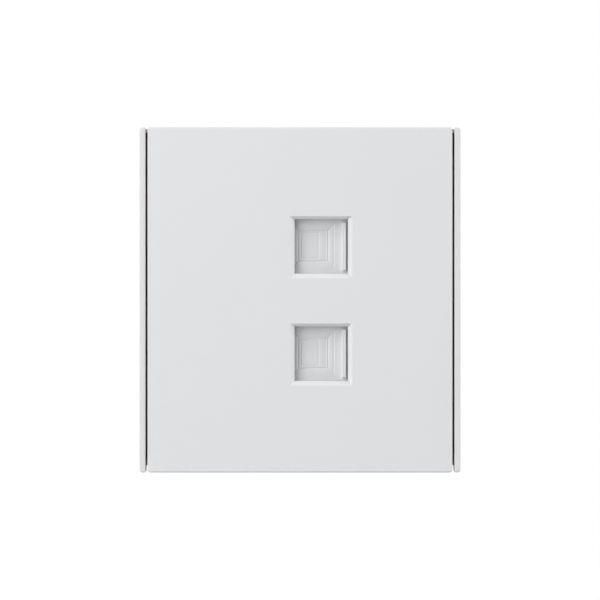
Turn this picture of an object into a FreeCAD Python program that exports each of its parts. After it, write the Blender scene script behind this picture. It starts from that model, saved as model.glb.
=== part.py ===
import FreeCAD, Part
import math
import os

# Two-port keystone faceplate. Millimetres. X to the right, Y into the wall, Z up.
# The origin is the middle of the frame's back, on the wall. The front faces -Y.

# ---------------------------------------------------------------- outside
height = 86.0                # cover and side rails, top to bottom
cover_width = 76.0
front_depth = 11.0           # wall to front face
shadow_slot = 0.5            # gap between the cover and each side rail
rail_width = 1.5
cover_top_radius = 0.5       # corners seen from the front
cover_bottom_radius = 0.8
rail_outer_radius = 0.8
rail_inner_radius = 0.3
front_edge_radius = 0.4      # rounding of the front edges

# ---------------------------------------------------------------- cover
cover_wall = 2.0
side_skirt = 1.6
end_skirt = 1.2
skirt_gap = 0.1              # side skirts stop this far above the frame's base
end_skirt_gap = 0.3          # end skirts stop this far off the wall
stiffener_width = 1.0
stiffener_depth = 3.0
stiffener_x = 27.0
stiffener_z = 34.0

# ---------------------------------------------------------------- port windows
window_width = 13.3
window_height = 13.6
lead_in_depth = 0.9          # sloping lead-in round each window
lead_in_side = 1.1           # its width at the left and right
lead_in_top = 0.7
lead_in_bottom = 1.15
collar_wall = 0.9            # wall round each window behind the cover
collar_depth = 1.3
window_offset = 5.3          # port centres lie this far right of the middle
window_pitch = 26.75         # upper port to lower port

# ---------------------------------------------------------------- shutter
slide_gap = 0.2              # running gap on every side of the shutter
shutter_thickness = 1.3
shutter_edge_lap = 1.4       # strip above and below the window that runs in the track
shutter_right_lap = 0.85
grip_width = 0.95
grip_length = 12.0
grip_rise = 1.3
grip_gap = 0.5               # grip rib to the window's right wall
open_stop_gap = 0.25         # left in hand when the shutter is fully open
dish_depth = 0.2
dish_left = -6.0             # floor of the finger dish, from the port centre
dish_right = 1.45
dish_top = 4.05
dish_bottom = -3.8
dish_side_flare = 1.65       # how far its sloping sides spread to the right and left
dish_end_flare = 1.35        # the same at the top and bottom
outer_step_margin = 0.1      # outer moulded step, in from the dish floor's edges
outer_step_deep = 0.4        # below the dish floor at its left end
outer_step_shallow = 0.1     # the same at its right end
inner_step_left = 1.0        # inner moulded step, in from the dish floor's edges
inner_step_right = 2.1
inner_step_top = 0.4
inner_step_bottom = 0.9
inner_step_deep = 0.65
inner_step_shallow = 0.28
step_corner_radius = 0.35

# ---------------------------------------------------------------- spring
wire_diameter = 0.3
coil_diameter = 3.0          # outside of the coil
spring_turns = 7
spring_runs = 8              # straight runs in each turn
wire_sides = 6               # flats round the wire
spring_open_length = 4.0     # length left when the shutter is fully open
spring_rise = 0.4            # coil axis in front of the track's face
spring_end_gap = 0.03
coil_clearance = 0.25
spigot_diameter = 1.6
spigot_length = 1.5
lug_thickness = 1.2

# ---------------------------------------------------------------- track
track_plate = 1.2
track_rib = 1.2
trough_wall = 0.9
port_width = 12.0            # passage for the plug behind the shutter, along X
port_height = 11.9
track_corner_radius = 1.0
track_screw_margin = 2.6     # right-hand screws to the track's edge

# ---------------------------------------------------------------- track screws
boss_radius = 2.0
boss_gap = 0.3
pilot_radius = 0.85
pilot_skin = 1.0             # plastic left in front of the pilot hole
screw_hole_radius = 1.1
screw_head_radius = 1.8
screw_head_height = 1.3
screw_fit = 0.02
screw_tip_gap = 0.2
drive_width = 0.5
drive_span = 1.9
drive_depth = 0.7

# ---------------------------------------------------------------- keystone carrier
bay_length = 16.6            # room for the jack's height, along X
bay_width = 14.8             # room for the jack's width, along Z
bay_shift = 0.3
bay_depth = 9.0
carrier_wall = 1.4
carrier_face = 1.3
carrier_gap = 0.3            # behind the track
throat_margin = 0.1          # carrier's face opening beyond the track's
flange_rim = 2.0
flange_thickness = 1.2
carrier_fit = 0.2            # carrier in the frame's opening
arm_width = 5.0              # snap arms above and below the bay
arm_slit = 0.8
arm_root = 0.6               # slits stop this far behind the flange
barb_height = 0.8
barb_depth = 1.35
barb_gap = 0.05
latch_window_width = 7.0     # takes the jack's spring latch
latch_window_depth = 3.6
latch_window_back = 1.6
shoulder_width = 9.0         # takes the jack's fixed nose
shoulder_height = 0.7
shoulder_depth = 2.0
shoulder_back = 2.0
head_to_carrier = 0.8        # track screw heads to the carrier's wall

# ---------------------------------------------------------------- mounting frame
base_thickness = 2.2
base_top_gap = 0.2           # base to the cover's end skirts
base_bottom_gap = 0.4
slot_stop_height = 1.0       # webs at the top of the shadow slots
slot_stop_back = 1.5         # behind the front face
nib_height = 0.5             # small nibs at the middle of the rails
nib_back = 3.0
nib_fit = 0.05
snap_ledge = 0.9             # thickness of the ledges that the hooks catch
pocket_width = 1.0
box_screw_spacing = 60.0
box_slot_length = 9.0
box_slot_width = 4.2
box_pad_rim = 1.6
box_pad_height = 0.8
frame_rib_z = 33.0
frame_rib_length = 54.0
frame_rib_width = 1.2
frame_rib_height = 2.0

# ---------------------------------------------------------------- snap hooks of the cover
hook_x = 33.2                # inner face of each hook
hook_z = 28.0
hook_width = 7.0
hook_thickness = 1.2
hook_barb = 0.9
hook_tip_gap = 0.25          # tip to the wall
hook_fit = 0.15
hook_side_fit = 0.2

# ---------------------------------------------------------------- worked out
front_y = -front_depth
half_height = height / 2
half_cover = cover_width / 2
rail_inner = half_cover + shadow_slot
rail_outer = rail_inner + rail_width
cover_back = front_y + cover_wall
base_front = -base_thickness
base_top = half_height - end_skirt - base_top_gap
base_bottom = half_height - end_skirt - base_bottom_gap

collar_back = cover_back + collar_depth
shutter_front = collar_back + slide_gap
shutter_back = shutter_front + shutter_thickness
shutter_half = window_height / 2 + shutter_edge_lap
shutter_right = window_width / 2 + shutter_right_lap
grip_right = window_width / 2 - grip_gap
grip_left = grip_right - grip_width
travel = grip_left + window_width / 2 - open_stop_gap

track_front = shutter_back + slide_gap
track_back = track_front + track_plate
track_inner = shutter_half + slide_gap
track_outer = track_inner + track_rib
track_stop = shutter_right + slide_gap

carrier_front = track_back + carrier_gap
carrier_back = carrier_front + carrier_face + bay_depth
bay_left = bay_shift - bay_length / 2
bay_right = bay_shift + bay_length / 2
tube_left = bay_left - carrier_wall
tube_right = bay_right + carrier_wall
tube_half = bay_width / 2 + carrier_wall

trough_end = tube_left - carrier_gap
trough_right = trough_end - trough_wall
trough_radius = coil_diameter / 2 + coil_clearance
shutter_left = trough_right - slide_gap
lug_left = shutter_left - lug_thickness
spring_y = track_front - spring_rise
spring_length = travel + spring_open_length
spring_wall = lug_left - spring_length
track_left = spring_wall - track_rib

left_screw_x = spring_wall + boss_radius + boss_gap
right_screw_x = tube_right + screw_head_radius + head_to_carrier
screw_z = track_inner - boss_radius - boss_gap
track_right = right_screw_x + track_screw_margin

ports = {"upper": window_pitch / 2, "lower": -window_pitch / 2}


# ---------------------------------------------------------------- helpers
def box(x0, x1, y0, y1, z0, z1):
    """Block between two corners."""
    return Part.makeBox(x1 - x0, y1 - y0, z1 - z0, FreeCAD.Vector(x0, y0, z0))


def rounded_face(x0, x1, z0, z1, y, radii):
    """Face in the plane y, with a radius for each corner: x0z0, x1z0, x1z1, x0z1."""
    corners = [(x0, z0, 1, 1), (x1, z0, -1, 1), (x1, z1, -1, -1), (x0, z1, 1, -1)]
    joints = []
    for index, ((x, z, sx, sz), r) in enumerate(zip(corners, radii)):
        along_x = FreeCAD.Vector(x + sx * r, y, z)
        along_z = FreeCAD.Vector(x, y, z + sz * r)
        turn = r * (1 - math.sqrt(0.5))
        middle = FreeCAD.Vector(x + sx * turn, y, z + sz * turn)
        ends = (along_z, along_x) if index % 2 == 0 else (along_x, along_z)
        joints.append((ends[0], middle, ends[1]))
    edges = []
    for index, (start, middle, end) in enumerate(joints):
        edges.append(Part.Arc(start, middle, end).toShape())
        following = joints[(index + 1) % 4][0]
        if not end.isEqual(following, 1e-6):
            edges.append(Part.LineSegment(end, following).toShape())
    return Part.Face(Part.Wire(edges))


def rounded_block(x0, x1, y0, y1, z0, z1, radii):
    """Block with rounded upright corners, seen from the front."""
    return rounded_face(x0, x1, z0, z1, y0, radii).extrude(FreeCAD.Vector(0, y1 - y0, 0))


def rectangle_wire(x0, x1, z0, z1, y):
    """Closed rectangle in the plane y."""
    points = [(x0, z0), (x1, z0), (x1, z1), (x0, z1), (x0, z0)]
    return Part.makePolygon([FreeCAD.Vector(x, y, z) for x, z in points])


def flared_block(near, near_y, far, far_y):
    """Solid between two rectangles (x0, x1, z0, z1), each in its own plane."""
    wires = [rectangle_wire(*near, near_y), rectangle_wire(*far, far_y)]
    return Part.makeLoft(wires, True, True)


def plan_prism(points, z0, z1):
    """Outline in the XY plane, carried upwards from z0 to z1."""
    vectors = [FreeCAD.Vector(x, y, z0) for x, y in points]
    return Part.Face(Part.makePolygon(vectors + vectors[:1])).extrude(FreeCAD.Vector(0, 0, z1 - z0))


def side_prism(points, x0, x1):
    """Outline in the YZ plane, carried to the right from x0 to x1."""
    vectors = [FreeCAD.Vector(x0, y, z) for y, z in points]
    return Part.Face(Part.makePolygon(vectors + vectors[:1])).extrude(FreeCAD.Vector(x1 - x0, 0, 0))


def rod_y(radius, y0, y1, x, z):
    """Round bar along Y."""
    return Part.makeCylinder(radius, y1 - y0, FreeCAD.Vector(x, y0, z), FreeCAD.Vector(0, 1, 0))


def rod_x(radius, x0, x1, y):
    """Round bar along X, at the port's middle height."""
    return Part.makeCylinder(radius, x1 - x0, FreeCAD.Vector(x0, y, 0), FreeCAD.Vector(1, 0, 0))


def joined(shapes):
    """One solid from pieces that touch or overlap."""
    return shapes[0].fuse(shapes[1:]).removeSplitter()


def at_port(shape, z):
    """Copy of a shape modelled about a port centre, moved to its port."""
    moved = shape.copy()
    moved.translate(FreeCAD.Vector(window_offset, 0, z))
    return moved


def round_front(shape, radius, chosen):
    """Rounds the front edges that chosen(edge) accepts."""
    edges = [e for e in shape.Edges if all(abs(v.Y - front_y) < 1e-6 for v in e.Vertexes) and chosen(e)]
    return shape.makeFillet(radius, edges)


def mirrored(shape):
    """The shape and its mirror image, left and right."""
    return [shape, shape.mirror(FreeCAD.Vector(0, 0, 0), FreeCAD.Vector(1, 0, 0))]


def export(name, shape):
    """Writes one node; single solids leave their compound."""
    solids = shape.Solids
    result = solids[0] if len(solids) == 1 else Part.makeCompound(solids)
    result.exportStep("parts/%s.step" % name)


# ---------------------------------------------------------------- cover
def cover_shell():
    """Front wall with skirts at the sides and ends, open at the back."""
    top, bottom = cover_top_radius, cover_bottom_radius
    outside = rounded_block(-half_cover, half_cover, front_y, -end_skirt_gap,
                            -half_height, half_height, (bottom, bottom, top, top))
    outside = round_front(outside, front_edge_radius, lambda edge: True)
    inside_x = half_cover - side_skirt
    inside_z = half_height - end_skirt
    hollow = box(-inside_x, inside_x, cover_back, 0, -inside_z, inside_z)
    above_base = base_front - skirt_gap
    side_relief = box(-half_cover, half_cover, above_base, 0, -inside_z, inside_z)
    return outside.cut([hollow, side_relief])


def window_cut():
    """Port window: a lead-in all round, then straight walls through the collar."""
    x, z = window_width / 2, window_height / 2
    side = x + lead_in_side
    lead_in_floor = front_y + lead_in_depth
    mouth = (-side, side, -z - lead_in_bottom, z + lead_in_top)
    lead_in = flared_block(mouth, front_y, (-x, x, -z, z), lead_in_floor)
    return lead_in.fuse(box(-x, x, lead_in_floor, collar_back, -z, z))


def window_collar():
    """Wall round a port window, behind which the shutter slides."""
    x, z = window_width / 2 + collar_wall, window_height / 2 + collar_wall
    return box(-x, x, cover_back, collar_back, -z, z)


def track_screw_places():
    """The two screws of a track, at opposite corners, about the port centre."""
    return [(left_screw_x, screw_z), (right_screw_x, -screw_z)]


def cover_hook(z):
    """Snap hook that passes through the frame's base and catches its ledge."""
    tip = -hook_tip_gap
    catch = -base_thickness + snap_ledge + barb_gap
    outer = hook_x + hook_thickness
    outline = [(hook_x, cover_back), (outer, cover_back), (outer, catch),
               (outer + hook_barb, catch), (outer, tip), (hook_x, tip)]
    return plan_prism(outline, z - hook_width / 2, z + hook_width / 2)


def cover_stiffeners():
    """Ribs on the back of the front wall."""
    back = cover_back + stiffener_depth
    half = stiffener_width / 2
    upright = box(stiffener_x - half, stiffener_x + half, cover_back, back, -stiffener_z, stiffener_z)
    across = [box(-stiffener_x, stiffener_x, cover_back, back, z - half, z + half)
              for z in (-stiffener_z, stiffener_z)]
    return mirrored(upright) + across


def cover_plate():
    """Front cover with two windows, screw bosses, hooks and ribs."""
    pieces = [cover_shell()] + cover_stiffeners()
    for z in (-hook_z, hook_z):
        pieces += mirrored(cover_hook(z))
    cuts = []
    for port_z in ports.values():
        pieces.append(at_port(window_collar(), port_z))
        cuts.append(at_port(window_cut(), port_z))
        for x, z in track_screw_places():
            pieces.append(at_port(rod_y(boss_radius, cover_back, track_front, x, z), port_z))
            pilot = rod_y(pilot_radius, front_y + pilot_skin, track_front, x, z)
            cuts.append(at_port(pilot, port_z))
    return joined(pieces).cut(cuts)


# ---------------------------------------------------------------- shutter
def moulded_step(x0, x1, z0, z1, deep, shallow):
    """Round-cornered recess in the dish floor, deep at its left end and shallow at its right."""
    floor_y = shutter_front + dish_depth
    outline = rounded_block(x0, x1, floor_y, floor_y + deep, z0, z1, (step_corner_radius,) * 4)
    sloping = [(x0, floor_y), (x1, floor_y), (x1, floor_y + shallow), (x0, floor_y + deep)]
    return outline.common(plan_prism(sloping, z0, z1))


def dish_cuts():
    """Finger dish with sloping sides, and two steps in its floor."""
    floor = (dish_left, dish_right, dish_bottom, dish_top)
    rim = (dish_left - dish_side_flare, dish_right + dish_side_flare,
           dish_bottom - dish_end_flare, dish_top + dish_end_flare)
    dish = flared_block(rim, shutter_front, floor, shutter_front + dish_depth)
    margin = outer_step_margin
    outer = moulded_step(dish_left + margin, dish_right - margin,
                         dish_bottom + margin, dish_top - margin, outer_step_deep, outer_step_shallow)
    inner = moulded_step(dish_left + inner_step_left, dish_right - inner_step_right,
                         dish_bottom + inner_step_bottom, dish_top - inner_step_top,
                         inner_step_deep, inner_step_shallow)
    return [dish, outer, inner]


def grip_rib():
    """Upright rib at the right, where a fingernail pushes."""
    half = grip_length / 2
    return box(grip_left, grip_right, shutter_front - grip_rise, shutter_front, -half, half)


def spring_lug():
    """Disc at the left end that the spring presses on, with a spigot inside the coil."""
    disc = rod_x(coil_diameter / 2, lug_left, shutter_left, spring_y)
    tongue = box(lug_left, shutter_left, shutter_front, shutter_back,
                 -coil_diameter / 2, coil_diameter / 2)
    spigot = rod_x(spigot_diameter / 2, lug_left - spigot_length, lug_left, spring_y)
    return [disc, tongue, spigot]


def shutter():
    """One dust shutter, closed."""
    plate = box(shutter_left, shutter_right, shutter_front, shutter_back, -shutter_half, shutter_half)
    return joined([plate.cut(dish_cuts()), grip_rib()] + spring_lug())


# ---------------------------------------------------------------- spring
def wire_section(turn, x):
    """Section of the spring wire at an angle round the coil axis, in turns."""
    middle_radius = (coil_diameter - wire_diameter) / 2
    around = 2 * math.pi * turn
    points = []
    for corner in range(wire_sides + 1):
        angle = 2 * math.pi * (corner + 0.5) / wire_sides
        radius = middle_radius + wire_diameter / 2 * math.cos(angle)
        along = x + wire_diameter / 2 * math.sin(angle)
        points.append(FreeCAD.Vector(along, spring_y + radius * math.sin(around),
                                     radius * math.cos(around)))
    return Part.makePolygon(points)


def shutter_spring():
    """Compression spring from the track's wall to the shutter's lug, drawn in short straight runs."""
    start = spring_wall + spring_end_gap + wire_diameter / 2
    end = lug_left - spring_end_gap - wire_diameter / 2
    count = spring_turns * spring_runs
    pitch = (end - start) / count
    sections = [wire_section(i / spring_runs, start + pitch * i) for i in range(count + 1)]
    return Part.makeLoft(sections, True, True)


# ---------------------------------------------------------------- track
def trough(radius, x0, x1):
    """Half-round bar along the spring, with straight sides up to the cover's back."""
    front = min(cover_back, spring_y - radius)
    corners = [FreeCAD.Vector(x0, front, -radius), FreeCAD.Vector(x0, front, radius)]
    ends = [FreeCAD.Vector(x0, spring_y, -radius), FreeCAD.Vector(x0, spring_y, radius)]
    bottom = FreeCAD.Vector(x0, spring_y + radius, 0)
    edges = [Part.LineSegment(ends[0], corners[0]).toShape(),
             Part.LineSegment(corners[0], corners[1]).toShape(),
             Part.LineSegment(corners[1], ends[1]).toShape(),
             Part.Arc(ends[1], bottom, ends[0]).toShape()]
    return Part.Face(Part.Wire(edges)).extrude(FreeCAD.Vector(x1 - x0, 0, 0))


def track_body():
    """Plate with two side ribs and an end wall at each end, which seat on the cover's back."""
    radii = (track_corner_radius,) * 4
    plate = rounded_block(track_left, track_right, track_front, track_back,
                          -track_outer, track_outer, radii)
    stop_end = track_stop + track_rib
    ribs = [box(track_left + track_corner_radius, stop_end, cover_back, track_front, z0, z0 + track_rib)
            for z0 in (track_inner, -track_outer)]
    walls = [box(x, x + track_rib, cover_back, track_front, -track_inner, track_inner)
             for x in (track_left, track_stop)]
    outer_radius = trough_radius + trough_wall
    behind_plate = box(track_left, trough_end, track_front, 0, -outer_radius, outer_radius)
    bulge = trough(outer_radius, track_left, trough_end).common(behind_plate)
    return joined([plate, bulge] + ribs + walls)


def shutter_track():
    """Carries the shutter behind the window, with a trough for its spring."""
    x, z = port_width / 2, port_height / 2
    cuts = [box(-x, x, track_front, track_back, -z, z)]
    cuts.append(trough(trough_radius, spring_wall, trough_right))
    for place_x, place_z in track_screw_places():
        cuts.append(rod_y(screw_hole_radius, track_front, track_back, place_x, place_z))
    spigot = rod_x(spigot_diameter / 2, spring_wall, spring_wall + spigot_length, spring_y)
    return joined([track_body().cut(cuts), spigot])


# ---------------------------------------------------------------- track screws
def track_screw():
    """Small self-tapping screw with a cross recess, along Y."""
    head_back = track_back + screw_head_height
    tip = front_y + pilot_skin + screw_tip_gap
    core = pilot_radius - screw_fit
    profile = [(0, tip), (0, head_back), (screw_head_radius, head_back),
               (screw_head_radius, track_back), (core, track_back), (core, tip)]
    vectors = [FreeCAD.Vector(x, y, 0) for x, y in profile]
    outline = Part.Face(Part.makePolygon(vectors + vectors[:1]))
    body = outline.revolve(FreeCAD.Vector(0, 0, 0), FreeCAD.Vector(0, 1, 0), 360)
    wide, long = drive_width / 2, drive_span / 2
    recess_y = head_back - drive_depth
    cross = [box(-long, long, recess_y, head_back, -wide, wide),
             box(-wide, wide, recess_y, head_back, -long, long)]
    return body.cut(cross)


def track_screws():
    """The two screws of one track."""
    one = track_screw()
    screws = []
    for x, z in track_screw_places():
        copy = one.copy()
        copy.translate(FreeCAD.Vector(x, 0, z))
        screws.append(copy)
    return Part.makeCompound(screws)


# ---------------------------------------------------------------- keystone carrier
def carrier_tube():
    """Jack bay with its face, flange and open back."""
    tube = box(tube_left, tube_right, carrier_front, carrier_back, -tube_half, tube_half)
    rim = flange_rim
    flange = box(tube_left - rim, tube_right + rim, base_front - flange_thickness, base_front,
                 -tube_half - rim, tube_half + rim)
    bay_half = bay_width / 2
    bay = box(bay_left, bay_right, carrier_front + carrier_face, carrier_back, -bay_half, bay_half)
    lead = carrier_wall / 2
    mouth = flared_block((bay_left, bay_right, -bay_half, bay_half), carrier_back - lead,
                         (bay_left - lead, bay_right + lead, -bay_half - lead, bay_half + lead),
                         carrier_back)
    x, z = port_width / 2 + throat_margin, port_height / 2 + throat_margin
    throat = box(-x, x, carrier_front, carrier_front + carrier_face, -z, z)
    return joined([tube, flange]).cut([bay, mouth, throat])


def carrier_barb():
    """Barb on the upper snap arm, behind the frame's ledge."""
    catch = -base_thickness + snap_ledge + barb_gap
    outline = [(catch, tube_half), (catch, tube_half + barb_height),
               (catch + barb_depth, tube_half)]
    half = arm_width / 2
    return side_prism(outline, bay_shift - half, bay_shift + half)


def carrier_slits():
    """Slits that free the snap arms, through the upper wall."""
    start = base_front + arm_root
    half = arm_width / 2
    return [box(x, x + arm_slit, start, carrier_back, bay_width / 2, tube_half)
            for x in (bay_shift - half - arm_slit, bay_shift + half)]


def upside_down(shapes):
    """Mirror images, top to bottom."""
    return [s.mirror(FreeCAD.Vector(0, 0, 0), FreeCAD.Vector(0, 0, 1)) for s in shapes]


def latch_seats():
    """Window for the jack's spring latch on the left, shoulder for its fixed nose on the right."""
    latch_end = carrier_back - latch_window_back
    half = latch_window_width / 2
    latch = box(tube_left, bay_left, latch_end - latch_window_depth, latch_end, -half, half)
    nose_end = carrier_back - shoulder_back
    nose_half = shoulder_width / 2
    nose = box(bay_right, bay_right + shoulder_height, nose_end - shoulder_depth, nose_end,
               -nose_half, nose_half)
    return [latch, nose]


def keystone_carrier():
    """Snap-in carrier for one jack, turned on its side."""
    slits = carrier_slits()
    barbs = [carrier_barb()]
    body = carrier_tube().cut(slits + upside_down(slits) + latch_seats())
    return joined([body] + barbs + upside_down(barbs))


# ---------------------------------------------------------------- mounting frame
def side_rail():
    """Right-hand rail, with its front edges rounded."""
    outer, inner = rail_outer_radius, rail_inner_radius
    rail = rounded_block(rail_inner, rail_outer, front_y, 0, -half_height, half_height,
                         (inner, outer, outer, inner))
    return round_front(rail, front_edge_radius, lambda edge: True)


def rail_nibs():
    """Web at the top of the shadow slot and a small nib half way down."""
    end = half_cover + nib_fit
    stop = box(end, rail_inner, front_y + slot_stop_back, 0, base_top, base_top + slot_stop_height)
    half = nib_height / 2
    nib = box(end, rail_inner, front_y + nib_back, base_front, -half, half)
    return [stop, nib]


def carrier_opening():
    """Opening for one carrier, with a pocket for each snap barb."""
    fit = carrier_fit
    half = tube_half + fit
    opening = box(tube_left - fit, tube_right + fit, base_front, 0, -half, half)
    reach = half + pocket_width
    pocket_half = arm_width / 2 + arm_slit
    pocket = box(bay_shift - pocket_half, bay_shift + pocket_half, base_front + snap_ledge, 0,
                 -reach, reach)
    return opening.fuse(pocket)


def hook_opening(z):
    """Opening for one cover hook: a throat, and a pocket behind the ledge."""
    half = hook_width / 2 + hook_side_fit
    inner = hook_x - hook_fit
    outer = hook_x + hook_thickness + hook_fit
    throat = box(inner, outer, base_front, 0, z - half, z + half)
    pocket = box(inner, outer + pocket_width, base_front + snap_ledge, 0, z - half, z + half)
    return throat.fuse(pocket)


def box_slot(x):
    """Slot along X with round ends, through the base and its pad."""
    half_long, half_wide = box_slot_length / 2, box_slot_width / 2
    return rounded_block(x - half_long, x + half_long, base_front - box_pad_height, 0,
                         -half_wide, half_wide, (half_wide,) * 4)


def box_pad(x):
    """Raised pad round a screw slot, under the screw's head."""
    half_long, half_wide = box_slot_length / 2 + box_pad_rim, box_slot_width / 2 + box_pad_rim
    return box(x - half_long, x + half_long, base_front - box_pad_height, base_front,
               -half_wide, half_wide)


def frame_ribs():
    """Stiffening ribs across the base, above and below the carriers."""
    x, half = frame_rib_length / 2, frame_rib_width / 2
    return [box(-x, x, base_front - frame_rib_height, base_front, z - half, z + half)
            for z in (-frame_rib_z, frame_rib_z)]


def mounting_frame():
    """Base plate with the two side rails, openings, ledges and screw slots."""
    base = box(-rail_inner, rail_inner, base_front, 0, -base_bottom, base_top)
    pieces = [base] + mirrored(side_rail()) + frame_ribs()
    for shape in rail_nibs():
        pieces += mirrored(shape)
    cuts = [at_port(carrier_opening(), z) for z in ports.values()]
    for z in (-hook_z, hook_z):
        cuts += mirrored(hook_opening(z))
    for x in (-box_screw_spacing / 2, box_screw_spacing / 2):
        pieces.append(box_pad(x))
        cuts.append(box_slot(x))
    return joined(pieces).cut(cuts)


# ---------------------------------------------------------------- build
def build():
    """Writes every node."""
    os.makedirs("parts", exist_ok=True)
    export("cover_plate", cover_plate())
    export("mounting_frame", mounting_frame())
    port_pieces = {
        "shutter": shutter(),
        "shutter_track": shutter_track(),
        "shutter_spring": shutter_spring(),
        "track_screws": track_screws(),
        "keystone_carrier": keystone_carrier(),
    }
    for side, z in ports.items():
        for name, shape in port_pieces.items():
            export("%s_%s" % (name, side), at_port(shape, z))


build()
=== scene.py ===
"""Looks of a two-port keystone faceplate: finishes, shutters, springs, screws and studio."""

import logging
import math
from dataclasses import dataclass, field
from enum import Enum
from typing import Any

import bpy
import numpy as np
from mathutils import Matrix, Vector


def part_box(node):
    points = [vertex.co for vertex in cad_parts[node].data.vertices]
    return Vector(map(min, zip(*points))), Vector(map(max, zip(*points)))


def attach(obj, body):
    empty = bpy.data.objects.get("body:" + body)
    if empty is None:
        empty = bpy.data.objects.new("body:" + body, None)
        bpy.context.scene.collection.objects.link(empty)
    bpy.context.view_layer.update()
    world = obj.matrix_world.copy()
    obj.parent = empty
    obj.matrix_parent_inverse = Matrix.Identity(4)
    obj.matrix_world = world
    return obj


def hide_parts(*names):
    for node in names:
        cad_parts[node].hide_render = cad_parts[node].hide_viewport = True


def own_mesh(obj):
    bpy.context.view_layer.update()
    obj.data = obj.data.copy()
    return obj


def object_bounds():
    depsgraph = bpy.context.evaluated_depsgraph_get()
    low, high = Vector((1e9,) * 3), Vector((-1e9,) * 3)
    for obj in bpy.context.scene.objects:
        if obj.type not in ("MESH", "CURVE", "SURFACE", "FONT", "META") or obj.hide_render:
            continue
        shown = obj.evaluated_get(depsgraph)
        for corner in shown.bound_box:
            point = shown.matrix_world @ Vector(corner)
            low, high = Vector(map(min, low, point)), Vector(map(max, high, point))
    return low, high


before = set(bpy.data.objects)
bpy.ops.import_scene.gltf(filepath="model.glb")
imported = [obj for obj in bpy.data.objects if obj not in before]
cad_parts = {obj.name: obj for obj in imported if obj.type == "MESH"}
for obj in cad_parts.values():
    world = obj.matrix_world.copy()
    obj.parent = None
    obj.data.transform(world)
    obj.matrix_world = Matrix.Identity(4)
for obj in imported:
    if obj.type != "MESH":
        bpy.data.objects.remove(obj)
CAD_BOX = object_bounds()
WINDOW_REACH = (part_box("shutter_lower")[0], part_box("shutter_upper")[1])
COVER_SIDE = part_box("cover_plate")[1].x

log = logging.getLogger("faceplate")
MM = 0.001
WHITE = (255, 255, 255)
NO_TINT = (1.0, 1.0, 1.0, 1.0)


# ---------------------------------------------------------------- shader expressions
class Value:
    """A shader value that can stand in a Python expression; each operator adds its Math node."""

    def __init__(self, shader: "Shader", socket: bpy.types.NodeSocket) -> None:
        """Keeps the node tree's builder and the socket that gives the value."""
        self.shader = shader
        self.socket = socket

    def _math(self, operation: str, *terms: "Value | float") -> "Value":
        """Adds one Math node on these terms."""
        return self.shader.node("ShaderNodeMath", {"operation": operation}, dict(enumerate(terms)))

    def __add__(self, other: "Value | float") -> "Value":
        """Sum."""
        return self._math("ADD", self, other)

    def __sub__(self, other: "Value | float") -> "Value":
        """Difference."""
        return self._math("SUBTRACT", self, other)

    def __mul__(self, other: "Value | float") -> "Value":
        """Product."""
        return self._math("MULTIPLY", self, other)

    __radd__ = __add__
    __rmul__ = __mul__

    def __abs__(self) -> "Value":
        """Size without its sign."""
        return self._math("ABSOLUTE", self)

    def between(self, low: float, high: float) -> "Value":
        """1 where the value lies from low to high, and 0 elsewhere."""
        return self._math("COMPARE", self, (low + high) / 2, (high - low) / 2)

    def clamped(self) -> "Value":
        """The value held between 0 and 1."""
        return self.shader.node("ShaderNodeClamp", {}, {"Value": self})


class Shader:
    """Builder of one node tree, for a material or the world."""

    def __init__(self, owner: bpy.types.ID) -> None:
        """Empties the owner's node tree.

        Args:
            owner: The material or world whose nodes are built.
        """
        owner.use_nodes = True
        self.tree = owner.node_tree
        self.tree.nodes.clear()

    def node(self, kind: str, settings: dict[str, Any] | None = None,
             inputs: dict[str | int, Any] | None = None, output: str | int = 0) -> Value:
        """Adds a node, sets its options first and its sockets after.

        Args:
            kind: Blender's type name of the node.
            settings: Options of the node, by name.
            inputs: A number, colour or Value for each socket, by name or place.
            output: The socket that the result stands for.

        Returns:
            The chosen output as a Value, or the last node's first input where it has no output.
        """
        made = self.tree.nodes.new(kind)
        for name, setting in (settings or {}).items():
            setattr(made, name, setting)
        for key, given in (inputs or {}).items():
            if isinstance(given, Value):
                self.tree.links.new(given.socket, made.inputs[key])
            else:
                made.inputs[key].default_value = given
        return Value(self, made.outputs[output] if made.outputs else made.inputs[0])

    def place(self) -> Value:
        """Object coordinates, which are metres in the part's own frame."""
        return self.node("ShaderNodeTexCoord", output="Object")

    def along(self, axis: str) -> Value:
        """One of the object coordinates, X, Y or Z, in metres."""
        return self.node("ShaderNodeSeparateXYZ", {}, {"Vector": self.place()}, axis)

    def noise(self, size: float, detail: float = 2.0,
              stretch: tuple[float, float, float] = (1, 1, 1)) -> Value:
        """Soft noise from 0 to 1.

        Args:
            size: Width of one cell in metres.
            detail: Number of finer layers.
            stretch: Share of the frequency kept along X, Y and Z.

        Returns:
            The noise level.
        """
        mapped = self.node("ShaderNodeMapping", {}, {"Vector": self.place(), "Scale": stretch})
        return self.node("ShaderNodeTexNoise", {},
                         {"Vector": mapped, "Scale": 1.0 / size, "Detail": detail, "Roughness": 0.55})

    def mix(self, share: Value, low: tuple[float, ...], high: tuple[float, ...]) -> Value:
        """Colour between low and high by a share from 0 to 1."""
        return self.node("ShaderNodeMix", {"data_type": "RGBA"}, {"Factor": share, 6: low, 7: high}, 2)

    def tinted(self, colour: Value, tint: Value) -> Value:
        """Colour times a tint, channel by channel."""
        settings = {"data_type": "RGBA", "blend_type": "MULTIPLY"}
        return self.node("ShaderNodeMix", settings, {"Factor": 1.0, 6: colour, 7: tint}, 2)

    def finish(self, surface: Value) -> None:
        """Joins the surface to the tree's output."""
        kind = "World" if isinstance(self.tree.id_data, bpy.types.World) else "Material"
        self.node("ShaderNodeOutput" + kind, {}, {"Surface": surface})


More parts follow.
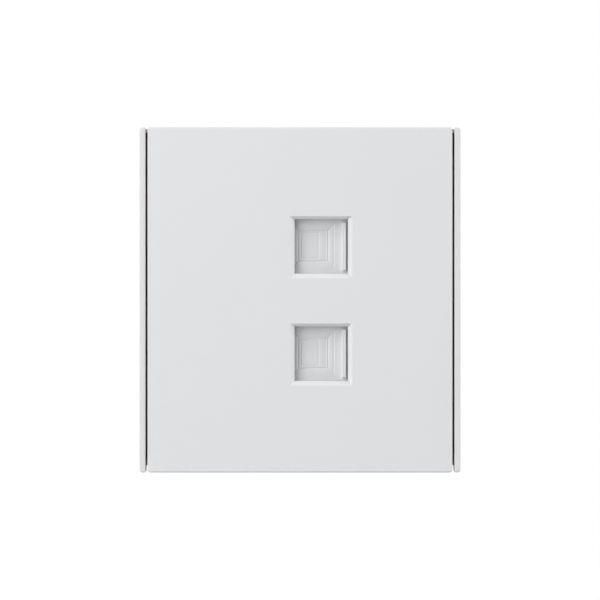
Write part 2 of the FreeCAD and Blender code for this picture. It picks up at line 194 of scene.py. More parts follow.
def linear(red: float, green: float, blue: float) -> tuple[float, float, float, float]:
    """Colour for a socket, from display levels of 0 to 255.

    Each level c from 0 to 1 becomes ((c + 0.055) / 1.055)^2.4, or c / 12.92 near black.

    Args:
        red: Display level of red.
        green: Display level of green.
        blue: Display level of blue.

    Returns:
        The linear colour, with full opacity.
    """
    levels = [channel / 255 for channel in (red, green, blue)]
    bent = [c / 12.92 if c <= 0.04045 else ((c + 0.055) / 1.055) ** 2.4 for c in levels]
    return (*bent, 1.0)


# ---------------------------------------------------------------- finishes
PLASTIC_IOR = 1.53
COAT_ROUGHNESS = 0.25


@dataclass(frozen=True)
class MouldedPlastic:
    """Moulded plastic with the fine spark texture of its mould.

    Attributes:
        name: Name of the material.
        colour: Display levels of the plastic.
        roughness: Middle roughness.
        grain_size: Width of one pit of the texture, in metres.
        grain_depth: Depth of the pits, in metres.
        cloud_tone: How much darker the slow clouds of the melt are.
        edge_radius: Softness of the mould's edges, in metres.
        coat: Weight of the skin's gloss.
        cloud_size: Width of one cloud, in metres.
        roughness_spread: How far the texture moves the roughness.
        pit_size: Width of the smaller pits, as a share of the grain's.
        pit_share: Share of the smaller pits in the texture.
        texture_tone: Share of the texture in the tone; the clouds have the rest.
        gloss: Level of the plain reflection.
        window_shade_tint: Painted shade of the windows' inner walls, darker and warmer, as a share of each
            channel.
        shade_from: Place on Y where that painted shade starts, in metres.
        shade_over: Distance over which the painted shade comes up.
        slot_shade_tint: Painted warm shade on the walls of the slots beside the cover, as a share of each
            channel.
        slot_side: Reach of that painted shade inwards and outwards of the cover's side, in metres.
        slot_depth: Reach of that painted shade along Y, in metres.
    """

    name: str
    colour: tuple[float, float, float]
    roughness: float
    grain_size: float
    grain_depth: float
    cloud_tone: float
    edge_radius: float
    coat: float = 0.0
    cloud_size: float = 0.022
    roughness_spread: float = 0.12
    pit_size: float = 0.45
    pit_share: float = 0.35
    texture_tone: float = 0.25
    gloss: float = 0.3
    window_shade_tint: tuple[float, float, float] | None = None
    shade_from: float = -0.0102
    shade_over: float = 0.0008
    slot_shade_tint: tuple[float, float, float] | None = None
    slot_side: tuple[float, float] = (0.0003, 0.0008)
    slot_depth: tuple[float, float] = (-0.0109, -0.002)

    def window_shade_skin(self, shader: Shader, skin: Value) -> Value:
        """Paints shade, darker and warmer, on the windows' inner walls behind the face, within the
        shutters' reach.

        Args:
            shader: Builder of the material.
            skin: Colour of the outer skin.

        Returns:
            The colour of the whole skin.
        """
        low, high = WINDOW_REACH
        deep = ((shader.along("Y") - self.shade_from) * (1 / self.shade_over)).clamped()
        across = shader.along("X").between(low.x, high.x)
        share = deep * across * shader.along("Z").between(low.z, high.z)
        return shader.tinted(skin, shader.mix(share, NO_TINT, (*self.window_shade_tint, 1.0)))

    def slot_shade_skin(self, shader: Shader, skin: Value) -> Value:
        """Paints warm shade on the walls of the two slots, behind the face and on both sides of the
        cover's edge.

        Args:
            shader: Builder of the material.
            skin: Colour of the skin elsewhere.

        Returns:
            The colour of the whole skin.
        """
        inwards, outwards = self.slot_side
        beside = abs(shader.along("X")).between(COVER_SIDE - inwards, COVER_SIDE + outwards)
        share = beside * shader.along("Y").between(*self.slot_depth)
        return shader.tinted(skin, shader.mix(share, NO_TINT, (*self.slot_shade_tint, 1.0)))

    def material(self) -> bpy.types.Material:
        """Builds the material.

        Returns:
            The finished material, ready for a slot.
        """
        made = bpy.data.materials.new(self.name)
        shader = Shader(made)
        grain = shader.noise(self.grain_size, 3.0)
        pits = shader.noise(self.grain_size * self.pit_size, 1.0)
        clouds = shader.noise(self.cloud_size, 3.0)
        texture = (1 - self.pit_share) * grain + self.pit_share * pits
        dark = tuple(level * (1 - self.cloud_tone) for level in self.colour)
        tone = (1 - self.texture_tone) * clouds + self.texture_tone * texture
        skin = shader.mix(tone, linear(*dark), linear(*self.colour))
        # painted shade: the windows' inner walls are darkened and warmed where shade falls in the recesses
        colour = self.window_shade_skin(shader, skin) if self.window_shade_tint else skin
        # painted shade: the walls of the slots are warmed where they lie in deep shade
        colour = self.slot_shade_skin(shader, colour) if self.slot_shade_tint else colour
        edges = shader.node("ShaderNodeBevel", {"samples": 6}, {"Radius": self.edge_radius})
        normal = shader.node("ShaderNodeBump", {}, {
            "Strength": 1.0, "Distance": self.grain_depth, "Height": texture, "Normal": edges})
        surface = shader.node("ShaderNodeBsdfPrincipled", {}, {
            "Base Color": colour,
            "Roughness": self.roughness + self.roughness_spread * (texture - 0.5),
            "IOR": PLASTIC_IOR,
            "Specular IOR Level": self.gloss,
            "Coat Weight": self.coat,
            "Coat Roughness": COAT_ROUGHNESS,
            "Normal": normal,
        })
        shader.finish(surface)
        return made


@dataclass(frozen=True)
class DrawnSteel:
    """Bright steel with fine lines along its working direction.

    Attributes:
        name: Name of the material.
        colour: Display levels of the metal.
        roughness: Middle roughness.
        line_size: Width of one line, in metres.
        line_depth: Depth of the lines, in metres.
        stretch: Share of the frequency kept along X, Y and Z, small along the lines.
        stain_size: Width of one dull stain, as a multiple of a line's.
        stain_tone: Level of the dull stains, as a share of the metal's.
        roughness_spread: How far the stains move the roughness.
    """

    name: str
    colour: tuple[float, float, float]
    roughness: float
    line_size: float
    line_depth: float
    stretch: tuple[float, float, float]
    stain_size: float = 9.0
    stain_tone: float = 0.86
    roughness_spread: float = 0.2

    def material(self) -> bpy.types.Material:
        """Builds the material.

        Returns:
            The finished material, ready for a slot.
        """
        made = bpy.data.materials.new(self.name)
        shader = Shader(made)
        lines = shader.noise(self.line_size, 3.0, self.stretch)
        stain = shader.noise(self.line_size * self.stain_size)
        dull = tuple(level * self.stain_tone for level in self.colour)
        normal = shader.node("ShaderNodeBump", {}, {
            "Strength": 1.0, "Distance": self.line_depth, "Height": lines})
        surface = shader.node("ShaderNodeBsdfPrincipled", {}, {
            "Base Color": shader.mix(stain, linear(*dull), linear(*self.colour)),
            "Metallic": 1.0,
            "Roughness": self.roughness + self.roughness_spread * (stain - 0.5),
            "Normal": normal,
        })
        shader.finish(surface)
        return made


class Finish(Enum):
    """The finishes of the part, one for each material slot of its record."""

    # The cover's window_shade_tint paints shade on the inner walls of its windows.
    COVER = MouldedPlastic(
        "cover_plastic", (221, 222, 224), roughness=0.52, grain_size=0.00042, grain_depth=0.000010,
        cloud_tone=0.012, edge_radius=0.00012, window_shade_tint=(0.83, 0.81, 0.79), slot_shade_tint=(1.04, 1.0, 0.96))
    # slot_shade_tint, on the cover above and on this frame, paints warm shade on the slot walls.
    FRAME = MouldedPlastic(
        "frame_plastic", (220, 220, 220), roughness=0.42, grain_size=0.00030, grain_depth=0.000005,
        cloud_tone=0.012, edge_radius=0.00010, slot_shade_tint=(1.04, 1.0, 0.96))
    SHUTTER = MouldedPlastic(
        "shutter_plastic", (223, 224, 225), roughness=0.36, grain_size=0.00022, grain_depth=0.000003,
        cloud_tone=0.010, edge_radius=0.00005, coat=0.15)
    INNER = MouldedPlastic(
        "inner_plastic", (214, 214, 210), roughness=0.48, grain_size=0.00030, grain_depth=0.000006,
        cloud_tone=0.020, edge_radius=0.00010)
    SPRING = DrawnSteel(
        "spring_wire", (196, 197, 199), roughness=0.28, line_size=0.00005, line_depth=0.000002,
        stretch=(1.0, 1.0, 1.0))
    SCREW = DrawnSteel(
        "screw_steel", (205, 206, 204), roughness=0.32, line_size=0.00012, line_depth=0.000004,
        stretch=(1.0, 0.2, 1.0))

    @property
    def slot(self) -> str:
        """The record's material slot."""
        return self.value.name


class Palette:
    """Makes each finish once and gives it to the pieces."""

    def __init__(self) -> None:
        """Starts with no material made."""
        self.made: dict[Finish, bpy.types.Material] = {}

    def get(self, finish: Finish) -> bpy.types.Material:
        """The material of a finish, made at its first use."""
        if finish not in self.made:
            self.made[finish] = finish.value.material()
        return self.made[finish]

    def dress(self, piece: bpy.types.Object, finish: Finish) -> None:
        """Puts a finish on a new piece or on a CAD node.

        Args:
            piece: The object to dress.
            finish: The finish that it gets.
        """
        if not piece.material_slots:
            piece.data.materials.append(None)
        for place in piece.material_slots:
            place.material = self.get(finish)


# ---------------------------------------------------------------- meshes
@dataclass
class Shell:
    """A closed surface in millimetres: its points and the faces between them."""

    points: np.ndarray
    faces: list[list[int]]

    @classmethod
    def joined(cls, shells: list["Shell"]) -> "Shell":
        """Several shells in one list of points and faces."""
        starts = np.cumsum([0] + [len(shell.points) for shell in shells[:-1]])
        faces = [[index + int(start) for index in face]
                 for shell, start in zip(shells, starts) for face in shell.faces]
        return cls(np.concatenate([shell.points for shell in shells]), faces)

    def piece(self, name: str, smooth_below: float = 40.0) -> bpy.types.Object:
        """Makes the Blender object, at the origin, with its place in its mesh.

        Args:
            name: Name of the object.
            smooth_below: Angle in degrees up to which an edge is shaded smooth.

        Returns:
            The new object, linked to the scene.
        """
        mesh = bpy.data.meshes.new(name)
        mesh.from_pydata(self.points * MM, [], self.faces)
        mesh.polygons.foreach_set("use_smooth", np.ones(len(mesh.polygons), bool))
        mesh.set_sharp_from_angle(angle=math.radians(smooth_below))
        mesh.validate()
        made = bpy.data.objects.new(name, mesh)
        bpy.context.scene.collection.objects.link(made)
        return made


def closed_tube(rings: np.ndarray, start: np.ndarray, end: np.ndarray) -> Shell:
    """Tube through rings of points, closed by a fan at each end.

    Ring i, point k joins ring i + 1 and point k + 1, and the last point joins the first. Seen along
    the tube from its start, each ring runs clockwise, so that the faces point outwards.

    Args:
        rings: Points in an array of rings by points by 3.
        start: The pole in front of the first ring.
        end: The pole after the last ring.

    Returns:
        The closed tube.
    """
    count, around = rings.shape[:2]
    index = np.arange(count * around).reshape(count, around)
    turned = np.roll(index, -1, axis=1)
    walls = np.stack([index[:-1], turned[:-1], turned[1:], index[1:]], -1).reshape(-1, 4)
    first, last = count * around, count * around + 1
    fans = [np.stack([np.full(around, first), turned[0], index[0]], -1),
            np.stack([np.full(around, last), index[-1], turned[-1]], -1)]
    points = np.concatenate([rings.reshape(-1, 3), start[None], end[None]])
    return Shell(points, walls.tolist() + fans[0].tolist() + fans[1].tolist())


def plan_solid(xs: np.ndarray, zs: np.ndarray, inside: np.ndarray, front: np.ndarray,
               back: np.ndarray) -> Shell:
    """Solid between two height fields over the cells of a grid that are inside its outline.

    The front sheet is y = front(x, z) and the back sheet y = back(x, z). A wall stands on every edge
    that an inside cell doesn't share with another one, so the solid is closed.

    Args:
        xs: Grid lines along X.
        zs: Grid lines along Z.
        inside: For each cell, whether the solid covers it.
        front: Y of the front sheet at each crossing of the lines.
        back: Y of the back sheet there.

    Returns:
        The closed solid.
    """
    grid_x, grid_z = np.meshgrid(xs, zs, indexing="ij")
    sheets = [np.stack([grid_x, sheet, grid_z], -1).reshape(-1, 3) for sheet in (front, back)]
    near = np.arange(grid_x.size).reshape(grid_x.shape)
    far = near + grid_x.size
    cells = np.stack([near[:-1, :-1], near[1:, :-1], near[1:, 1:], near[:-1, 1:]], -1)[inside]
    quads = [cells, cells[:, ::-1] + grid_x.size]
    ringed = np.pad(inside, 1)
    left = ringed[1:, 1:-1] & ~ringed[:-1, 1:-1]
    right = ringed[:-1, 1:-1] & ~ringed[1:, 1:-1]
    below = ringed[1:-1, 1:] & ~ringed[1:-1, :-1]
    above = ringed[1:-1, :-1] & ~ringed[1:-1, 1:]
    upright = np.stack([near[:, :-1], near[:, 1:], far[:, 1:], far[:, :-1]], -1)
    level = np.stack([near[:-1], far[:-1], far[1:], near[1:]], -1)
    quads += [upright[left], upright[right][:, ::-1], level[below], level[above][:, ::-1]]
    faces = np.concatenate(quads)
    used, renamed = np.unique(faces, return_inverse=True)
    return Shell(np.concatenate(sheets)[used], renamed.reshape(faces.shape).tolist())


def grid_lines(stations: list[float], step: float) -> np.ndarray:
    """Lines at each station, and evenly between them, no further apart than the step."""
    marks = np.unique(np.round(stations, 4))
    parts = [np.linspace(a, b, max(1, math.ceil((b - a) / step)), endpoint=False)
             for a, b in zip(marks[:-1], marks[1:])]
    return np.concatenate(parts + [marks[-1:]])


def soft_low(a: np.ndarray, b: np.ndarray | float, blend: float) -> np.ndarray:
    """The lower of two fields, rounded where they cross: (a + b - root((a - b)^2 + blend^2)) / 2."""
    return (a + b - np.sqrt((a - b) ** 2 + blend ** 2)) / 2


def smooth_step(share: np.ndarray) -> np.ndarray:
    """3 s^2 - 2 s^3 of the share s, held between 0 and 1."""
    held = np.clip(share, 0, 1)
    return held * held * (3 - 2 * held)


# ---------------------------------------------------------------- dust shutters
class Port(Enum):
    """The two ports, one above the other."""

    UPPER = "upper"
    LOWER = "lower"


@dataclass(frozen=True)
class MouldedStep:
    """Round-cornered recess in the dish floor, with a floor of its own. Sizes are millimetres.

    A fine groove, where the mould's insert met its frame, follows the outline.

    Attributes:
        left: Left side of the outline, from the port centre.
        right: Right side.
        bottom: Bottom.
        top: Top.
        deep: Depth of the floor at the left.
        shallow: Depth of the floor at the right.
        corner: Radius of the outline's corners.
        wall: Width of the smooth wall inside the outline.
        groove_depth: Depth of the fine groove.
        groove_left: Depth of the groove along the left side.
        groove_width: Half width of the groove.
    """

    left: float
    right: float
    bottom: float
    top: float
    deep: float
    shallow: float
    corner: float = 0.35
    wall: float = 0.3
    groove_depth: float = 0.1
    groove_left: float = 0.2
    groove_width: float = 0.15

    def outward(self, x: np.ndarray, z: np.ndarray) -> np.ndarray:
        """Distance outside the round-cornered outline, less than 0 inside it."""
        beyond_x = np.abs(x - (self.left + self.right) / 2) - (self.right - self.left) / 2 + self.corner
        beyond_z = np.abs(z - (self.bottom + self.top) / 2) - (self.top - self.bottom) / 2 + self.corner
        outside = np.hypot(np.clip(beyond_x, 0, None), np.clip(beyond_z, 0, None))
        return outside + np.clip(np.maximum(beyond_x, beyond_z), None, 0) - self.corner

    def inside(self, x: np.ndarray, z: np.ndarray) -> np.ndarray:
        """Share of the full depth, smooth from 0 to 1 over the wall inside the outline."""
        return smooth_step(-self.outward(x, z) / self.wall)

    def groove(self, x: np.ndarray, z: np.ndarray) -> np.ndarray:
        """Depth of the fine groove, a bell over the distance from the outline."""
        depth = np.interp(x, [self.left, self.left + self.corner], [self.groove_left, self.groove_depth])
        return depth * np.exp(-(self.outward(x, z) / self.groove_width) ** 2)

    def floor(self, x: np.ndarray) -> np.ndarray:
        """Depth of its floor below the dish's, evenly from deep at the left to shallow at the right."""
        return np.interp(x, [self.left, self.right], [self.deep, self.shallow])


@dataclass
class Shutter:
    """Sliding dust shutter with a finger dish, two moulded steps and a grip rib.

    Sizes are millimetres about the port centre, X to the right and Z up. The attributes that give
    more than one size:

    Attributes:
        rib: Left side, right side and half height of the grip rib.
        rib_draft: Width of the rib's steep foot.
        dish_floor: Left, right, bottom and top of the dish's floor.
        dish_flare: Width of the slopes round it, at the sides and at the ends.
        dish_soft: Rounding where the slopes meet, as a share of the depth.
        floor_near: Share of the depth from which a slope counts as the floor.
        line_step: Widest gap between the lines of the mesh.
        crisp_below: Angle in degrees up to which an edge is shaded smooth.
        bevel_from: Angle in degrees from which an edge is rounded.
    """

    port: Port
    right: float = 7.5
    half_height: float = 8.2
    thickness: float = 1.3
    left: float = -10.8
    lug_left: float = -12.0
    lug_radius: float = 1.5
    spigot_radius: float = 0.8
    spigot_length: float = 1.5
    rib: tuple[float, float, float] = (5.25, 6.2, 6.0)
    rib_rise: float = 1.3
    rib_round: float = 0.06
    rib_draft: float = 0.03
    dish_floor: tuple[float, float, float, float] = (-5.72, 1.7, -3.65, 3.95)
    dish_flare: tuple[float, float] = (1.4, 1.5)
    dish_depth: float = 0.13
    dish_soft: float = 0.05
    crease_depth: float = 0.1
    crease_width: float = 0.15
    floor_near: float = 0.95
    outer_step: MouldedStep = MouldedStep(
        left=-5.72, right=1.15, bottom=-3.65, top=3.8, deep=0.12, shallow=0.05)
    inner_step: MouldedStep = MouldedStep(
        left=-5.03, right=-0.62, bottom=-3.0, top=3.35, deep=0.16, shallow=0.08)
    line_step: float = 0.1
    edge_round: float = 0.08
    crisp_below: float = 30.0
    bevel_from: float = 70.0
    spigot_root: float = 0.2
    spigot_nose: float = 0.35
    spigot_sides: int = 32
    face: float = field(init=False)
    axis: float = field(init=False)
    centre: np.ndarray = field(init=False)

    def __post_init__(self) -> None:
        """Takes the face's level, the spring's axis and the port's centre from the CAD node's box."""
        low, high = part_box(f"shutter_{self.port.value}")
        self.face = low.y / MM + self.rib_rise
        self.axis = high.y / MM - self.lug_radius
        self.centre = np.array([high.x / MM - self.right, 0.0, (low.z + high.z) / 2 / MM])

    def rib_height(self, x: np.ndarray, z: np.ndarray) -> np.ndarray:
        """Rise of the grip rib, less r - root(r^2 - (r - d)^2) at the distance d in from its edge."""
        x0, x1, half = self.rib
        inward = np.minimum(np.minimum(x - x0, x1 - x), half - np.abs(z))
        held = np.clip(self.rib_round - inward, 0, self.rib_round)
        rounded = self.rib_rise - self.rib_round + np.sqrt(self.rib_round ** 2 - held ** 2)
        return np.where(inward >= -1e-6, rounded, 0.0)

    def dish_depths(self, x: np.ndarray, z: np.ndarray) -> np.ndarray:
        """Depth of the dish: the lowest of its four slopes, each 0 at the rim and full at the floor.

        A fine groove, a bell over the distance, runs where the slopes meet each other and the floor,
        and where the side slopes meet the slide's face.
        """
        x0, x1, z0, z1 = self.dish_floor
        side, end = self.dish_flare
        across = soft_low((x - x0) / side + 1, (x1 - x) / side + 1, self.dish_soft)
        upright = soft_low((z - z0) / end + 1, (z1 - z) / end + 1, self.dish_soft)
        steepest = soft_low(across, upright, self.dish_soft)
        slope = soft_low(steepest, 1.0, self.dish_soft)
        sloping = (slope > 0) & (slope < self.floor_near)
        mitre = np.where(sloping, np.abs(across - upright), 1.0)
        rim = np.where(upright > 0, np.abs(across), 1.0)
        off_line = np.minimum(np.minimum(rim, np.abs(steepest - 1)), mitre) * end
        crease = self.crease_depth * np.exp(-(off_line / self.crease_width) ** 2)
        return self.dish_depth * np.clip(slope, 0, None) + crease

    def step_depths(self, x: np.ndarray, z: np.ndarray) -> np.ndarray:
        """Depth of the two moulded steps below the dish floor, the inner one within the outer."""
        outer, inner = self.outer_step, self.inner_step
        return (outer.inside(x, z) * outer.floor(x) + outer.groove(x, z)
                + inner.inside(x, z) * (inner.floor(x) - outer.floor(x)) + inner.groove(x, z))

    def slide(self) -> Shell:
        """The flat slide with its dish, rib and round lug, as one solid between two height fields."""
        rib_left, rib_right, rib_half = self.rib
        floor_left, floor_right = self.dish_floor[:2]
        flare, draft = self.dish_flare[0], self.rib_draft
        xs = grid_lines([self.lug_left, self.left, rib_left - draft, rib_left, rib_right,
                         rib_right + draft, self.right, floor_left - flare, floor_right + flare],
                        self.line_step)
        upper = [self.lug_radius, rib_half, rib_half + draft, self.half_height]
        zs = grid_lines([-z for z in upper] + upper, self.line_step)
        x, z = np.meshgrid(xs, zs, indexing="ij")
        front = self.face + self.dish_depths(x, z) + self.step_depths(x, z) - self.rib_height(x, z)
        lug = x <= self.left + 1e-6
        bulge = np.sqrt(np.clip(self.lug_radius ** 2 - z ** 2, 0, None))
        front = np.where(lug, np.minimum(front, self.axis - bulge), front)
        slab_back = self.face + self.thickness
        back = np.where(lug, np.maximum(slab_back, self.axis + bulge), slab_back)
        middles = [(lines[1:] + lines[:-1]) / 2 for lines in (xs, zs)]
        middle_x, middle_z = np.meshgrid(middles[0], np.abs(middles[1]), indexing="ij")
        inside = (middle_x > self.left) | (middle_z < self.lug_radius)
        return plan_solid(xs, zs, inside, front, back)

    def spigot(self) -> Shell:
        """Round spigot that holds the spring: a circle carried along X, with a quarter-round nose."""
        turn = np.linspace(math.pi / 2, 0, 5)
        nose = self.spigot_radius * self.spigot_nose
        tip = self.lug_left - self.spigot_length
        along = np.concatenate([[self.lug_left + self.spigot_root], tip + nose * (1 - np.sin(turn))])
        radius = self.spigot_radius - np.concatenate([[0.0], nose * (1 - np.cos(turn))])
        angle = np.linspace(0, 2 * math.pi, self.spigot_sides, endpoint=False)
        rings = np.stack(np.broadcast_arrays(
            along[::-1, None], self.axis + radius[::-1, None] * np.cos(angle),
            radius[::-1, None] * np.sin(angle)), -1)
        ends = [np.array([tip, self.axis, 0.0]), np.array([along[0], self.axis, 0.0])]
        return closed_tube(rings, ends[0], ends[1])

    def build(self) -> bpy.types.Object:
        """Builds the shutter at its port, from the place of its CAD node.

        Returns:
            The shutter's object.
        """
        shell = Shell.joined([self.slide(), self.spigot()])
        placed = Shell(shell.points + self.centre, shell.faces)
        piece = placed.piece(f"dust_shutter_{self.port.value}", self.crisp_below)
        bevel = piece.modifiers.new("edge", "BEVEL")
        bevel.width = self.edge_round * MM
        bevel.segments = 2
        bevel.limit_method = "ANGLE"
        bevel.angle_limit = math.radians(self.bevel_from)
        return piece

    def dress(self, piece: bpy.types.Object, palette: Palette) -> None:
        """Gives the shutter its finish and its body."""
        palette.dress(piece, Finish.SHUTTER)
        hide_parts(f"shutter_{self.port.value}")
        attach(piece, f"shutter_{self.port.value}")


# ---------------------------------------------------------------- springs
@dataclass
class ShutterSpring:
    """Compression spring of round wire with closed ends, behind a shutter. Sizes are millimetres.

    Attributes:
        port: The port whose shutter it pushes shut.
        wire: Diameter of the wire.
        free_turns: Turns with a gap between them.
        closed_turns: Turns that lie close, at each end.
        steps_per_turn: Rings of the mesh in a turn.
        sides: Points of a ring.
        squeezed: Length with the shutter open; not used.
        seat_gap: Gap at each seat; not used.
        crisp_below: Angle in degrees up to which an edge is shaded smooth.
    """

    port: Port
    wire: float = 0.3
    free_turns: float = 7.0
    closed_turns: float = 1.0
    steps_per_turn: int = 30
    sides: int = 12
    squeezed: float = 4.0
    seat_gap: float = 0.03
    crisp_below: float = 60.0

    def build(self) -> bpy.types.Object:
        """Carries the wire's circle along a helix whose pitch falls to one wire at each end.

        Returns:
            The spring's object.
        """
        low, high = (np.array(corner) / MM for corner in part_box(f"shutter_spring_{self.port.value}"))
        radius = (high[2] - low[2]) / 2 - self.wire / 2
        axis_y, axis_z = (low[1] + high[1]) / 2, (low[2] + high[2]) / 2
        turns = self.free_turns + 2 * self.closed_turns
        turn = np.linspace(0, turns, int(turns * self.steps_per_turn) + 1)
        length = high[0] - low[0] - self.wire
        marks = [0, self.closed_turns, turns - self.closed_turns, turns]
        seat = self.closed_turns * self.wire
        along = np.interp(turn, marks, [0, seat, length - seat, length])
        around = 2 * math.pi * turn
        centre = np.stack([low[0] + self.wire / 2 + along, axis_y + radius * np.sin(around),
                           axis_z + radius * np.cos(around)], -1)
        ahead = np.gradient(centre, axis=0)
        ahead /= np.linalg.norm(ahead, axis=1, keepdims=True)
        outward = np.stack([np.zeros_like(turn), np.sin(around), np.cos(around)], -1)
        aside = np.cross(ahead, outward)
        side = np.linspace(0, 2 * math.pi, self.sides, endpoint=False)[None, :, None]
        circle = np.cos(side) * outward[:, None] - np.sin(side) * aside[:, None]
        rings = centre[:, None] + self.wire / 2 * circle
        tube = closed_tube(rings, centre[0], centre[-1])
        return tube.piece(f"spring_{self.port.value}", self.crisp_below)

    def dress(self, piece: bpy.types.Object, palette: Palette) -> None:
        """Gives the spring its finish, its body and a mesh of its own."""
        node = f"shutter_spring_{self.port.value}"
        palette.dress(piece, Finish.SPRING)
        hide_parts(node)
        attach(piece, "housing")
        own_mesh(piece)


# ---------------------------------------------------------------- screws
@dataclass
class TrackScrews:
    """Two self-tapping screws of one track, with a rolled thread and a cross recess.

    Sizes are millimetres.

    Attributes:
        port: The port whose track they hold.
        head_round: Radius of the head's rim.
        crest: Radius of the thread.
        root: Radius between its turns.
        point: Length over which the thread fades to the tip.
        point_share: Share of the radius that is left at the tip.
        recess_half: Half width of the cross.
        recess_arm: Half width of an arm.
        arm_wall: Width of an arm's smooth side wall.
        end_wall: Width of its smooth end wall.
        top_rings: Rings of the mesh across the top.
        rings_per_turn: Rings of the mesh in a turn of the thread.
        crisp_below: Angle in degrees up to which an edge is shaded smooth.
    """

    port: Port
    head_radius: float = 1.8
    head_height: float = 1.3
    head_round: float = 0.5
    crest: float = 0.83
    root: float = 0.6
    pitch: float = 0.6
    point: float = 0.7
    recess_depth: float = 0.7
    recess_half: float = 0.95
    recess_arm: float = 0.25
    arm_wall: float = 0.1
    end_wall: float = 0.15
    point_share: float = 0.35
    pole_gap: float = 0.04
    tip_gap: float = 0.02
    top_rings: int = 26
    rings_per_turn: int = 10
    sides: int = 64
    crisp_below: float = 35.0

    def screw(self, x: float, z: float, tip: float, top: float) -> Shell:
        """One screw along Y: rings of radius r at each y.

        The head's top is a dome with a quarter-round rim, pressed in over the cross by a smooth step of
        the distance from its arms. The shank's radius is its root plus a triangle wave of the angle and
        the height over the pitch, fading to the point.

        Args:
            x: Place of the axis.
            z: Place of the axis.
            tip: Y of the point, at the front.
            top: Y of the head's top, at the back.

        Returns:
            The screw's closed surface.
        """
        angle = np.linspace(0, 2 * math.pi, self.sides, endpoint=False)
        inner = np.linspace(self.pole_gap, self.head_radius - self.head_round, self.top_rings)
        bend = np.linspace(0, math.pi / 2, 7)[1:]
        seat = top - self.head_height
        turns = (seat - tip) / self.pitch
        shank = np.linspace(seat, tip + self.tip_gap, int(turns * self.rings_per_turn))
        radius = np.concatenate([inner, self.head_radius - self.head_round * (1 - np.sin(bend)),
                                 [self.head_radius], np.full(len(shank), self.root)])
        level = np.concatenate([np.full(len(inner), top), top - self.head_round * (1 - np.cos(bend)),
                                [seat], shank])
        ring, round_ = np.meshgrid(radius, angle, indexing="ij")
        height = np.broadcast_to(level[:, None], ring.shape).copy()
        arm = np.minimum(np.abs(ring * np.cos(round_)), np.abs(ring * np.sin(round_)))
        pressed = (smooth_step((self.recess_arm - arm) / self.arm_wall)
                   * smooth_step((self.recess_half - ring) / self.end_wall))
        on_top = np.arange(len(radius))[:, None] < len(inner)
        height -= np.where(on_top, self.recess_depth * pressed, 0)
        wave = np.abs(((height - seat) / self.pitch + round_ / (2 * math.pi)) % 1 - 0.5) * 2
        fade = np.clip((height - tip) / self.point, 0, 1)
        on_shank = np.arange(len(radius))[:, None] >= len(radius) - len(shank)
        thread = self.root + (self.crest - self.root) * wave
        narrowed = self.point_share + (1 - self.point_share) * fade
        ring = np.where(on_shank, thread * narrowed, ring)
        rings = np.stack([x + ring * np.cos(round_), height, z + ring * np.sin(round_)], -1)
        middle = top - self.recess_depth
        return closed_tube(rings, np.array([x, middle, z]), np.array([x, tip, z]))

    def build(self) -> bpy.types.Object:
        """Builds both screws, at the opposite corners of their CAD node's box.

        Returns:
            The screws' object.
        """
        low, high = (np.array(corner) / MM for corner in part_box(f"track_screws_{self.port.value}"))
        inset = self.head_radius
        places = [(low[0] + inset, high[2] - inset), (high[0] - inset, low[2] + inset)]
        shells = [self.screw(x, z, low[1], high[1]) for x, z in places]
        return Shell.joined(shells).piece(f"screws_{self.port.value}", self.crisp_below)

    def dress(self, piece: bpy.types.Object, palette: Palette) -> None:
        """Gives the screws their finish and their body."""
        palette.dress(piece, Finish.SCREW)
        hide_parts(f"track_screws_{self.port.value}")
        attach(piece, "housing")


# ---------------------------------------------------------------- moulded housing
@dataclass
class Housing:
    """The moulded parts that keep their CAD shape: cover, frame, tracks and carriers."""

    finishes: dict[str, Finish] = field(default_factory=lambda: {
        "cover_plate": Finish.COVER,
        "mounting_frame": Finish.FRAME,
        "shutter_track_upper": Finish.INNER,
        "shutter_track_lower": Finish.INNER,
        "keystone_carrier_upper": Finish.INNER,
        "keystone_carrier_lower": Finish.INNER,
    })

    def dress(self, palette: Palette) -> None:
        """Gives each node its finish."""
        for name, finish in self.finishes.items():
            palette.dress(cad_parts[name], finish)
            log.info("%s dressed as %s", name, finish.slot)


# ---------------------------------------------------------------- studio
@dataclass(frozen=True)
class SoftLamp:
    """Square soft lamp that looks at the part. Metres and watts."""

    name: str
    place: tuple[float, float, float]
    size: float
    power: float

    def build(self) -> None:
        """Hangs the lamp at its place."""
        data = bpy.data.lights.new(self.name, "AREA")
        data.size = self.size
        data.energy = self.power
        made = bpy.data.objects.new(self.name, data)
        made.location = self.place
        made.rotation_euler = (-Vector(self.place)).to_track_quat("-Z", "Y").to_euler()
        bpy.context.scene.collection.objects.link(made)


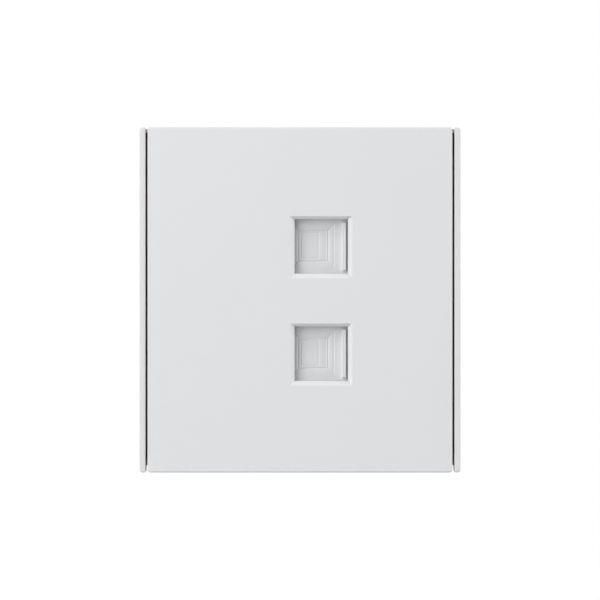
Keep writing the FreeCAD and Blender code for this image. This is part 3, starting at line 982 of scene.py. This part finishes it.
@dataclass
class Studio:
    """White surroundings, five soft lamps, a floor and the camera. Sizes are metres."""

    picture_width: float = 0.1495
    camera_distance: float = 1.5
    sensor: float = 36.0
    lamps: tuple[SoftLamp, ...] = (
        SoftLamp("lamp_front_left", (-0.6, -0.75, 0.3), 1.0, 8.6),
        SoftLamp("lamp_upper_left", (-0.4, -0.55, 0.8), 0.3, 1.7),
        SoftLamp("lamp_left", (-0.95, -0.27, 0.28), 0.5, 1.4),
        SoftLamp("lamp_top", (0.0, -0.3, 0.95), 0.5, 1.1),
        SoftLamp("lamp_right", (0.95, -0.27, 0.28), 0.5, 7.1))
    floor_drop: float = 0.35
    floor_size: float = 3.0
    floor_colour: tuple[float, float, float] = (238, 238, 238)
    floor_tone: float = 0.985
    floor_grain: float = 0.08
    floor_roughness: float = 0.9
    swell_height: float = 0.0005
    swell_rate: float = 3.0

    def surround(self) -> None:
        """White world for the camera, reflections and clear bodies, which gives no other light."""
        world = bpy.data.worlds.new("surround")
        bpy.context.scene.world = world
        shader = Shader(world)
        rays = [shader.node("ShaderNodeLightPath", output=f"Is {kind} Ray")
                for kind in ("Camera", "Glossy", "Transmission")]
        seen = (rays[0] + rays[1] + rays[2]).clamped()
        shader.finish(shader.node("ShaderNodeBackground", {}, {"Color": linear(*WHITE), "Strength": seen}))

    def floor(self) -> None:
        """Plain pale floor below the part, with a very slight swell: the product of two cosines."""
        low, _ = CAD_BOX
        line = np.linspace(-0.5, 0.5, 9) * self.floor_size
        x, y = np.meshgrid(line, line, indexing="ij")
        swell = self.swell_height * np.cos(self.swell_rate * x) * np.cos(self.swell_rate * y)
        z = low[2] - self.floor_drop + swell
        index = np.arange(x.size).reshape(x.shape)
        quads = np.stack([index[:-1, :-1], index[1:, :-1], index[1:, 1:], index[:-1, 1:]], -1)
        shell = Shell(np.stack([x, y, z], -1).reshape(-1, 3) / MM, quads.reshape(-1, 4).tolist())
        sheet = shell.piece("floor")
        material = bpy.data.materials.new("floor_paint")
        shader = Shader(material)
        tone = tuple(level * self.floor_tone for level in self.floor_colour)
        grain = shader.noise(self.floor_grain)
        colour = shader.mix(grain, linear(*tone), linear(*self.floor_colour))
        shader.finish(shader.node("ShaderNodeBsdfPrincipled", {}, {
            "Base Color": colour, "Roughness": self.floor_roughness}))
        sheet.data.materials.append(material)

    def camera(self) -> None:
        """Level camera straight in front of the part's middle."""
        low, high = CAD_BOX
        data = bpy.data.cameras.new("camera")
        data.sensor_width = self.sensor
        data.lens = self.sensor * self.camera_distance / self.picture_width
        data.clip_start = 0.01
        made = bpy.data.objects.new("camera", data)
        made.location = ((low[0] + high[0]) / 2, low[1] - self.camera_distance, (low[2] + high[2]) / 2)
        made.rotation_euler = (math.pi / 2, 0, 0)
        bpy.context.scene.collection.objects.link(made)
        bpy.context.scene.camera = made

    def build(self) -> None:
        """Sets up the whole studio."""
        bpy.context.scene.view_settings.view_transform = "Standard"
        self.surround()
        for lamp in self.lamps:
            lamp.build()
        self.floor()
        self.camera()


def main() -> None:
    """Builds and dresses every piece in order, and reports each."""
    logging.basicConfig(level=logging.INFO, format="%(name)s: %(message)s")
    Studio().build()
    palette = Palette()
    Housing().dress(palette)
    for port in Port:
        for part in (Shutter(port), ShutterSpring(port), TrackScrews(port)):
            piece = part.build()
            part.dress(piece, palette)
            log.info("%s built, %d faces", piece.name, len(piece.data.polygons))


if __name__ == "__main__":
    main()
